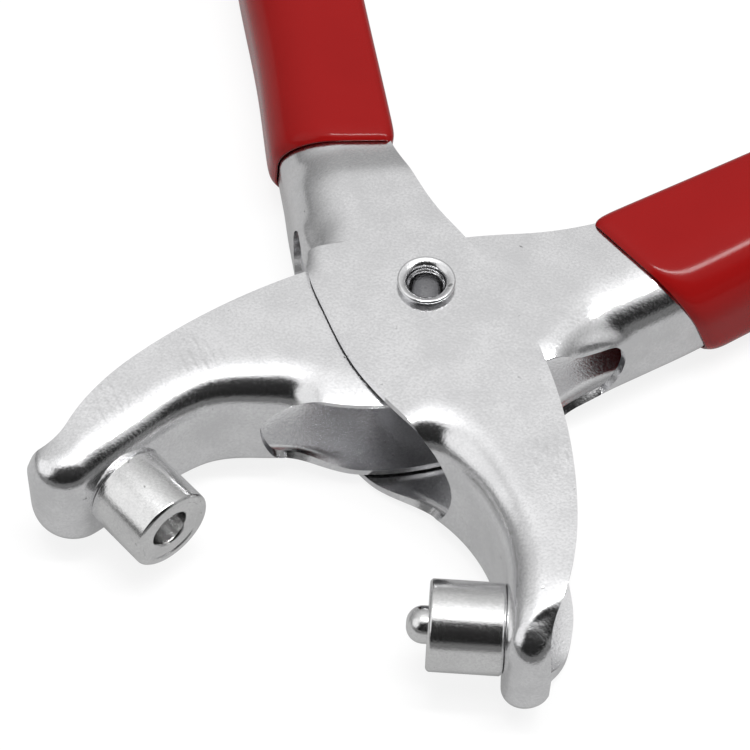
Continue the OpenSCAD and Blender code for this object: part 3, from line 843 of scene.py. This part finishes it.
upper = [(2.9, 0), (2.9, 8.82), (3.08, 8.96)] + rolled(3.12, 9.52, 0.25, -50, 105, 10)
upper += [(2.8, 9.68), (2.55, 9.55), (2.38, 9.4), (2.27, 9.2), (2.22, 8.9), (2.18, 8.75), (2.0, 8.62)]
upper += [(1.92, 8.4), (1.9, 6.9), (1.9, 0)]
bm = turned(upper + [(r, -z) for r, z in upper[-2::-1]], 0)
bmesh.ops.scale(bm, vec=(MM,) * 3, verts=bm.verts)
rivet = new_piece("pivot_rivet_turned", bm, plated, "outer", "pivot_rivet")
rivet.data.set_sharp_from_angle(angle=math.radians(50))
print("rivet faces", len(rivet.data.polygons))

# %% [markdown]
# Dies and pin
# The setter and the anvil are turned steel, each riveted through its jaw with a headed shank, and the pin is
# a domed pilot in the setter. Cylinders with holes cut in them would do, but a spun section gives chamfers,
# hole and shank together, and the edges that a lathe tool breaks are bevelled afterwards.

# %% Spin the dies and the pin
def on_seat(bm, name):
    """Stands a turned piece on the seat of a lever's die and opens it with the lever."""
    seat = Matrix.Translation((SEAT[name], -REACH, 0)) @ Matrix.Rotation(math.radians(-90), 4, "Y")
    bmesh.ops.transform(bm, matrix=place(name) @ seat, verts=bm.verts)
    bmesh.ops.recalc_face_normals(bm, faces=bm.faces)
    return bm


def die(node, profile, soft, name):
    """A turned piece on a lever's jaw, with its edges broken by soft."""
    piece = new_piece(node + "_turned", on_seat(turned(profile, soft), name), ground, name, node)
    piece.data.set_sharp_from_angle(angle=math.radians(35))
    return piece


shank = [(0, -2.1), (2.25, -2.1), (2.7, -1.65), (2.7, -1.2), (1.9, -1.2), (1.9, 0)]
foot = [(4.8, 0), (5.1, 0.3)]
setter = shank + foot + [(5.1, 8.1), (4.8, 8.4), (2.12, 8.4), (2.12, 4.4), (0, 4.4)]
anvil = shank + foot + [(5.1, 7.9), (4.8, 8.2), (4.2, 8.2), (3.95, 7.95), (2.62, 7.95), (2.35, 7.68),
                        (2.35, 2.7), (0, 2.7)]
pin = [(0, 4.4), (2.1, 4.4), (2.1, 8.9)] + rolled(0.2, 8.88, 1.9, 2, 88, 14) + [(0, 10.78)]
dies = [die("setter_die", setter, soft=0.12, name="outer"), die("anvil_die", anvil, soft=0.1, name="inner"),
        die("setter_pin", pin, soft=0, name="outer")]
print("turned pieces", [piece.name for piece in dies])

# %% [markdown]
# Vinyl
# The grips are soft red vinyl with an even colour and a wet gloss, broken only by slow waves from dipping.
# A plain red would look like a toy, so the shared grain's clouds shift the red and the surface a little.

# %% Finish the vinyl
RED, DEEP_RED = (0.236, 0.006, 0.006, 1), (0.2, 0.0045, 0.0045, 1)
vinyl, tree, out = new_material("red_vinyl")
skin = add(tree, "Group", node_tree=grain)
skin.inputs["Scale"].default_value = 0.5
red = blend_colours(tree, skin.outputs["Cloud"], RED, DEEP_RED)
gloss = add(tree, "MapRange", {"Value": skin.outputs["Speck"], "To Min": 0.09, "To Max": 0.18})
relief = add(tree, "Bump", {"Strength": 1, "Distance": 0.012 * MM, "Height": skin.outputs["Cloud"]})
shader = add(tree, "BsdfPrincipled", {"Base Color": red, "Roughness": gloss.outputs[0],
                                      "Specular IOR Level": 0.15, "Normal": relief.outputs[0]})
tree.links.new(shader.outputs[0], out.inputs[0])
print("vinyl", vinyl.name)

# %% [markdown]
# The grip's section and rows
# A grip is a sleeve with a thin mouth that hugs the steel, an even wall and a round closed end, and its
# front corner is rounder than the rest. A box with bevelled edges can't change its corners along the way.
# So a ring of points, always the same number, is described at each row from inside the mouth to the end.

# %% Describe the ring and the rows
CORNER, SIDE = 8, 4
WALL, MOUTH_DEEP, MOUTH_LIP = 0.9, 0.16, 0.18
# The wall grows from the mouth on: a distance from the mouth, and the wall there.
FEATHER = ((0.4, 0.52), (0.8, 0.7), (1.4, 0.83), (2.4, WALL), (4, WALL))
END_LEN, END_POWER, SMALLEST = 6.2, 2.3, 0.001
LIP_ROWS, LONG_ROWS, END_ROWS = 6, 34, 12


def ring_points(a, b, round_front, round_rear, round_free):
    """A rounded rectangle with half sizes a and b, always with the same number of points, web side first."""
    corners = ((1, 1, round_front), (-1, 1, round_free), (-1, -1, round_free), (1, -1, round_rear))
    points = []
    for q, (x, y, r) in enumerate(corners):
        middle = Vector((x * (a - r), y * (b - r)))
        points += [middle + polar(r, 90 * (q + k / CORNER)) for k in range(CORNER + 1)]
    evened = []
    for k, p in enumerate(points):
        evened.append(p)
        if k % (CORNER + 1) == CORNER:
            following = points[(k + 1) % len(points)]
            evened += [p.lerp(following, n / SIDE) for n in range(1, SIDE)]
    return evened


def grip_rows(whole):
    """Rows of a grip: the distance from its mouth, the wall there, and the ring's size, 1 up to the end."""
    rows = [(7, 0, 1), (3, 0, 1), (0.5, 0, 1)]
    for k in range(1, LIP_ROWS + 1):
        a = math.radians(180 * k / LIP_ROWS)
        rows.append((MOUTH_DEEP - MOUTH_DEEP * math.sin(a), MOUTH_LIP * (1 - math.cos(a)), 1))
    rows += [(d, wall, 1) for d, wall in FEATHER]
    full = FEATHER[-1][0]
    rows += [(full + (whole - full) * k / LONG_ROWS, WALL, 1) for k in range(1, LONG_ROWS + 1)]
    for k in range(1, END_ROWS + 1):
        share = math.sin(math.radians(90 * k / END_ROWS))
        size = (1 - share ** END_POWER) ** (1 / END_POWER)
        rows.append((whole + END_LEN * share, WALL, max(SMALLEST, size)))
    return rows


print("ring of", len(ring_points(6, 7, 1, 1, 1)), "points")

# %% [markdown]
# Carrying the ring along the handle
# The handle is straight by the pivot and then bows, and the grip follows it and its slight lean. A curve with
# a bevel could sweep the ring, but the slanted mouth would be lost. So a grid is wrapped round the handle,
# row by row, its seam is merged, and one level of subdivision finishes it.

# %% Wrap the grips
# The mouth's place along the handle, and how far it slants towards the web and towards the rear.
MOUTH = {"outer": (25.9, 0.9, 2.2), "inner": (26.85, 1.55, 3.0)}
SLANT_FADES = (14, 1)
# Roundings of the steel's corners, and the share of the wall by which the web's two grow.
FRONT_ROUND, REAR_ROUND, FREE_ROUND = 6.8, 4.2, 0.7
FRONT_GROWS, REAR_GROWS = 0.4, 0.6
GAP, FREE_GAP, MERGED = 0.1, 0.35, 0.004
MIDDLE_BOW = BOW - DEPTH / 2


def on_handle(t):
    """The middle of a handle at t along it, and the way towards the web."""
    turned_by = max(0, math.degrees((t - STRAIGHT) / MIDDLE_BOW))
    heading = polar(1, 90 + TILT - turned_by)
    outwards = Vector((-heading.y, heading.x))
    if turned_by:
        return handle(OFFSET - BOW, STRAIGHT) + polar(MIDDLE_BOW, 180 + TILT - turned_by), outwards
    return handle(OFFSET - DEPTH / 2, t), outwards


def grip(name):
    """The sleeve on one handle."""
    mouth, by_web, by_rear = MOUTH[name]
    a, b = DEPTH / 2 + GAP, NARROW + GAP
    rows = grip_rows(STRAIGHT - mouth + MIDDLE_BOW / BOW * CURVED)
    count = len(ring_points(a, b, 1, 1, 1))
    bm = bmesh.new()
    bmesh.ops.create_grid(bm, x_segments=count, y_segments=len(rows) - 1, size=1)
    bm.verts.ensure_lookup_table()
    for i, (d, more, size) in enumerate(rows):
        points = ring_points((a + more) * size, (b + more) * size, (FRONT_ROUND + FRONT_GROWS * more) * size,
                             (REAR_ROUND + REAR_GROWS * more) * size, (FREE_ROUND + more) * size)
        for k in range(count + 1):
            p = points[k % count]
            t = mouth + d + (by_web * p.x / a - by_rear * p.y / b) * ease(*SLANT_FADES, d)
            centre, outwards = on_handle(t)
            off_web, off_free = leaning(name, t)
            share = min(1, (p.x + a) / (2 * a - (FRONT_ROUND if p.y > 0 else REAR_ROUND)))
            off = off_web * share - (off_free + FREE_GAP) * (1 - share)
            bm.verts[i * (count + 1) + k].co = (*(centre + (p.x + off) * outwards), p.y)
    bmesh.ops.remove_doubles(bm, verts=bm.verts, dist=MERGED)
    bmesh.ops.transform(bm, matrix=place(name), verts=bm.verts)
    bmesh.ops.recalc_face_normals(bm, faces=bm.faces)
    piece = new_piece(name + "_grip_sleeve", bm, vinyl, name, name + "_grip")
    smooth = piece.modifiers.new("smooth", "SUBSURF")
    smooth.levels = smooth.render_levels = 1
    return piece


grips = [grip(name) for name in levers]
print("grips", [len(piece.data.polygons) for piece in grips])

# %% [markdown]
# Spring
# A torsion spring of round wire is wound on a mandrel and has one leg in each handle, so that the pliers open
# by themselves. A screw modifier could wind the coil, but its legs must leave it smoothly. So the wire's path
# is worked out first, as a leg, a coil and the same leg turned over, and a small ring is carried along it.

# %% Lay out the wire's path
# Radii of the wire and of the coil's middle, the rise of a turn, and whole turns.
WIRE, COIL, PITCH, TURNS = 0.55, 5.05, 1.75, 3
# How far along the handle a leg reaches, and how far in from its web's face it lies.
LEG_REACH, LEG_IN = 32, 2.6
# Steps along a leg, and degrees in a step of the coil.
LEG_STEPS, STEP = 8, 7.5
leg = Vector((LEG_REACH, OFFSET - LEG_IN - WIRE))
leg_a = angle_of(leg) + 90 + TILT + OPEN / 2
touch = leg_a + math.degrees(math.acos(COIL / leg.length))
swing = 2 * (270 - touch) + 360 * TURNS
rise = PITCH * swing / 360
steps = round(swing / STEP)
coil = [Vector((*polar(COIL, touch + swing * k / steps), rise * (k / steps - 0.5))) for k in range(steps + 1)]
tail = Vector((*polar(leg.length, leg_a), -rise / 2))
first_leg = [tail.lerp(coil[0], k / LEG_STEPS) for k in range(LEG_STEPS)]
wire_path = first_leg + coil + [Vector((-p.x, p.y, -p.z)) for p in reversed(first_leg)]
print("spring of", steps, "steps, rise", round(rise, 2))

# %% [markdown]
# Wire round the path
# The wire is round, and its two ends follow different levers when the pliers shut. A bevelled curve would
# look the same at rest, but a mesh can be twisted between two bodies. So a grid is wrapped round the path and
# its ends are filled.

# %% Carry a ring along the path
RING = 12
bm = bmesh.new()
bmesh.ops.create_grid(bm, x_segments=RING, y_segments=len(wire_path) - 1, size=1)
bm.verts.ensure_lookup_table()
for i, p in enumerate(wire_path):
    heading = (wire_path[min(i + 1, len(wire_path) - 1)] - wire_path[max(i - 1, 0)]).normalized()
    side = heading.cross(Vector((0, 0, 1))).normalized()
    over = side.cross(heading)
    for k in range(RING + 1):
        a = 2 * math.pi * (k % RING) / RING
        bm.verts[i * (RING + 1) + k].co = p + WIRE * (math.cos(a) * side + math.sin(a) * over)
bmesh.ops.remove_doubles(bm, verts=bm.verts, dist=1e-4)
bmesh.ops.holes_fill(bm, edges=[e for e in bm.edges if e.is_boundary], sides=0)
bmesh.ops.scale(bm, vec=(MM,) * 3, verts=bm.verts)
bmesh.ops.recalc_face_normals(bm, faces=bm.faces)
spring = new_piece("return_spring_wire", bm, wire_steel, None, "return_spring")
spring.data.set_sharp_from_angle(angle=math.radians(50))
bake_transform(spring)
print("spring faces", len(spring.data.polygons))

# %% [markdown]
# Sleeve
# A spacer sleeve round the rivet keeps the channels from being squeezed shut. It sits inside the levers and
# is hardly seen, so it isn't drawn again: the construction's own shape is kept and gets the steel finish.

# %% Give the sleeve its finish
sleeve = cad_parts["pivot_sleeve"]
sleeve.data.materials.clear()
sleeve.data.materials.append(wire_steel)
print("sleeve", sleeve.name)
